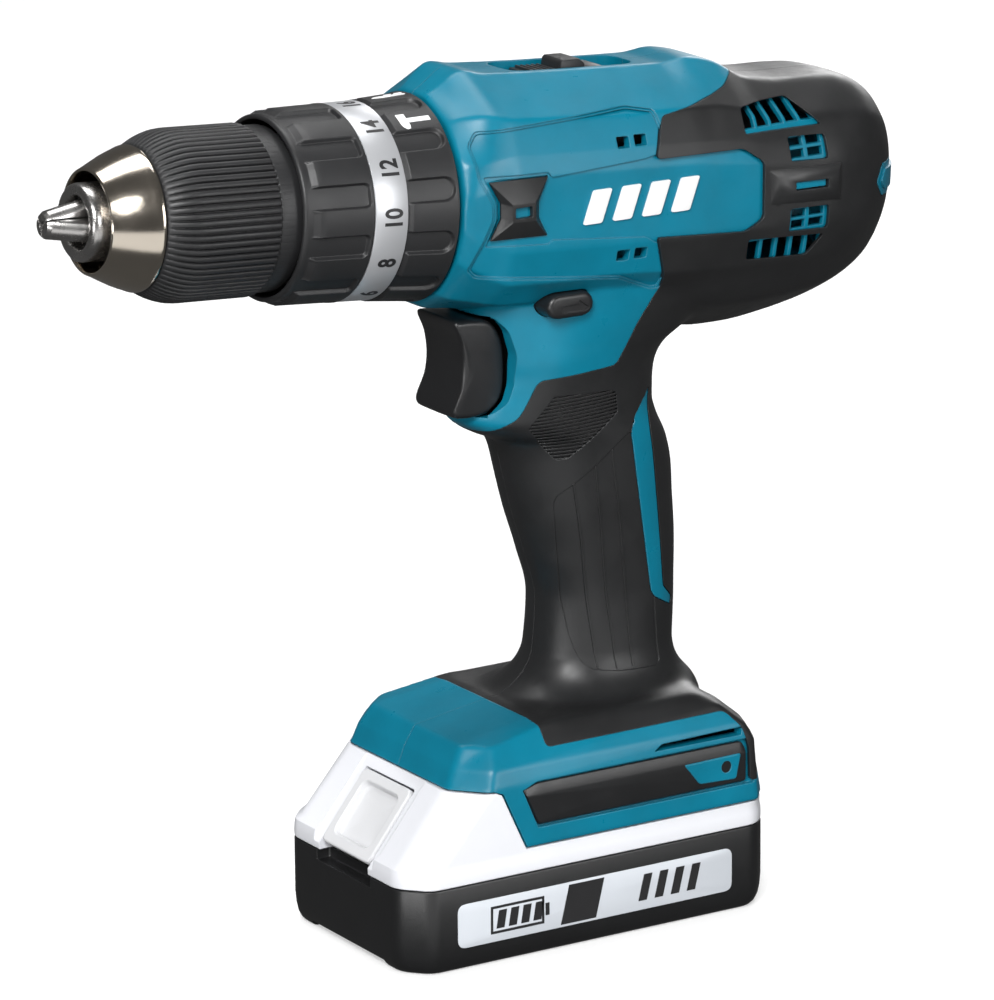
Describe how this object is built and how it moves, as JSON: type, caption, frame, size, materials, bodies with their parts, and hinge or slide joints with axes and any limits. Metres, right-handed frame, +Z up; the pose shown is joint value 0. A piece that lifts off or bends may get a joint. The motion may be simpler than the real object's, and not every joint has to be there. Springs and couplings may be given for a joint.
{
  "type": "cordless drill",
  "caption": "Pistol-grip battery hammer drill with keyless chuck, torque and mode rings, trigger, ribbed vents and a slide-on battery base.",
  "frame": {"origin": "centre of the battery's flat foot pad on the surface the drill stands on", "axes": "+X backwards from the chuck to the motor end, +Y across the tool to its right-hand side, +Z up along the grip"},
  "size_m": [0.2656, 0.0716, 0.245],
  "materials": {
    "teal_shell": "fine satin texture",
    "black_rubber": "matt, fine grain",
    "black_plastic": "satin",
    "bright_nose": "polished, warm nickel",
    "steel": "turned and ground",
    "dark_steel": "blackened",
    "silver_plastic": "silver satin with dark numerals",
    "white_plastic": "satin",
    "latch_plastic": "milky, slightly translucent",
    "label_foil": "printed foil, no text",
    "nickel_can": "plain metal can",
    "cast_metal": "die-cast",
    "ferrite": "dull grey magnet",
    "copper_steel": "copper windings on a steel core",
    "red_lead": "insulated wire",
    "grey_fan": "moulded"
  },
  "bodies": {
    "housing": {"housing_left": "teal_shell", "housing_right": "teal_shell", "rubber_left": "black_rubber", "rubber_right": "black_rubber", "base_pad_left": "black_plastic", "base_pad_right": "black_plastic", "side_pad_left": "black_plastic", "side_pad_right": "black_plastic", "gear_case": "cast_metal", "ring_gear": "steel", "clutch_spring": "steel", "spindle_bearing": "steel", "motor_can": "dark_steel", "magnet_left": "ferrite", "magnet_right": "ferrite", "brush_holder": "black_plastic", "motor_bearing": "steel", "switch_unit": "black_plastic", "terminal_block": "black_plastic", "lead_red": "red_lead", "lead_black": "black_plastic", "housing_screw_1": "dark_steel", "housing_screw_2": "dark_steel", "housing_screw_3": "dark_steel", "housing_screw_4": "dark_steel", "housing_screw_5": "dark_steel", "housing_screw_6": "dark_steel", "housing_screw_7": "dark_steel"},
    "chuck": {"spindle": "steel", "chuck_body": "steel", "chuck_screw": "dark_steel"},
    "rotor": {"armature": "copper_steel", "motor_pinion": "steel", "cooling_fan": "grey_fan"},
    "planet_1": {"planet_gear_1": "steel"},
    "planet_2": {"planet_gear_2": "steel"},
    "planet_3": {"planet_gear_3": "steel"},
    "sleeve": {"chuck_sleeve": "black_plastic", "nose_cone": "bright_nose"},
    "jaw_1": {"jaw_1": "steel"},
    "jaw_2": {"jaw_2": "steel"},
    "jaw_3": {"jaw_3": "steel"},
    "torque_collar": {"torque_ring": "black_plastic", "number_band": "silver_plastic"},
    "mode_collar": {"mode_ring": "black_plastic"},
    "trigger": {"trigger_button": "black_plastic"},
    "reverse_lever": {"reverse_lever": "black_plastic"},
    "speed_selector": {"speed_selector": "black_plastic"},
    "battery": {"battery_case": "black_plastic", "battery_cover": "white_plastic", "battery_label_left": "label_foil", "battery_label_right": "label_foil", "cell_1": "nickel_can", "cell_2": "nickel_can", "cell_3": "nickel_can", "cell_4": "nickel_can", "cell_5": "nickel_can"},
    "battery_latch": {"battery_latch": "latch_plastic"}
  },
  "joints": [
    {"name": "chuck_spin", "type": "hinge", "parent": "housing", "child": "chuck", "pos_m": [-0.0334, 0, 0.2104], "axis": [-0.9985, 0, 0.0539], "continuous": true},
    {"name": "rotor_spin", "type": "hinge", "parent": "housing", "child": "rotor", "pos_m": [-0.0334, 0, 0.2104], "axis": [-0.9985, 0, 0.0539], "continuous": true},
    {"name": "planet_spin_1", "type": "hinge", "parent": "chuck", "child": "planet_1", "pos_m": [-0.03275, 0, 0.22238], "axis": [-0.9985, 0, 0.0539], "continuous": true},
    {"name": "planet_spin_2", "type": "hinge", "parent": "chuck", "child": "planet_2", "pos_m": [-0.03372, 0.01039, 0.20441], "axis": [-0.9985, 0, 0.0539], "continuous": true},
    {"name": "planet_spin_3", "type": "hinge", "parent": "chuck", "child": "planet_3", "pos_m": [-0.03372, -0.01039, 0.20441], "axis": [-0.9985, 0, 0.0539], "continuous": true},
    {"name": "sleeve_turn", "type": "hinge", "parent": "chuck", "child": "sleeve", "pos_m": [-0.0334, 0, 0.2104], "axis": [-0.9985, 0, 0.0539], "range_deg": [0, 4210]},
    {"name": "jaw_slide_1", "type": "slide", "parent": "chuck", "child": "jaw_1", "axis": [0.9851, 0, 0.1721], "range_m": [0, 0.0175]},
    {"name": "jaw_slide_2", "type": "slide", "parent": "chuck", "child": "jaw_2", "axis": [0.9669, 0.1948, -0.1648], "range_m": [0, 0.0175]},
    {"name": "jaw_slide_3", "type": "slide", "parent": "chuck", "child": "jaw_3", "axis": [0.9669, -0.1948, -0.1648], "range_m": [0, 0.0175]},
    {"name": "torque_turn", "type": "hinge", "parent": "housing", "child": "torque_collar", "pos_m": [-0.0334, 0, 0.2104], "axis": [-0.9985, 0, 0.0539], "range_deg": [-100, 200]},
    {"name": "mode_turn", "type": "hinge", "parent": "housing", "child": "mode_collar", "pos_m": [-0.0334, 0, 0.2104], "axis": [-0.9985, 0, 0.0539], "range_deg": [-30, 30]},
    {"name": "trigger_pull", "type": "slide", "parent": "housing", "child": "trigger", "axis": [1, 0, 0], "range_m": [0, 0.006], "stiffness_N_per_m": 700, "springref_m": -0.003},
    {"name": "reverse_push", "type": "slide", "parent": "housing", "child": "reverse_lever", "axis": [0, 1, 0], "range_m": [0, 0.005]},
    {"name": "gear_select", "type": "slide", "parent": "housing", "child": "speed_selector", "axis": [0.9985, 0, -0.0539], "range_m": [0, 0.008]},
    {"name": "battery_slide", "type": "slide", "parent": "housing", "child": "battery", "axis": [-1, 0, 0], "range_m": [0, 0.12]},
    {"name": "latch_press", "type": "slide", "parent": "battery", "child": "battery_latch", "axis": [-0.6184, 0, -0.7859], "range_m": [0, 0.0035], "stiffness_N_per_m": 500, "springref_m": -0.002}
  ],
  "couplings": [
    {"joint": "rotor_spin", "follows": "chuck_spin", "ratio": 4},
    {"joint": "planet_spin_1", "follows": "chuck_spin", "ratio": -3},
    {"joint": "planet_spin_2", "follows": "chuck_spin", "ratio": -3},
    {"joint": "planet_spin_3", "follows": "chuck_spin", "ratio": -3},
    {"joint": "sleeve_turn", "follows": "jaw_slide_1", "rad_per_m": 4188.8},
    {"joint": "jaw_slide_2", "follows": "jaw_slide_1", "ratio": 1},
    {"joint": "jaw_slide_3", "follows": "jaw_slide_1", "ratio": 1}
  ]
}
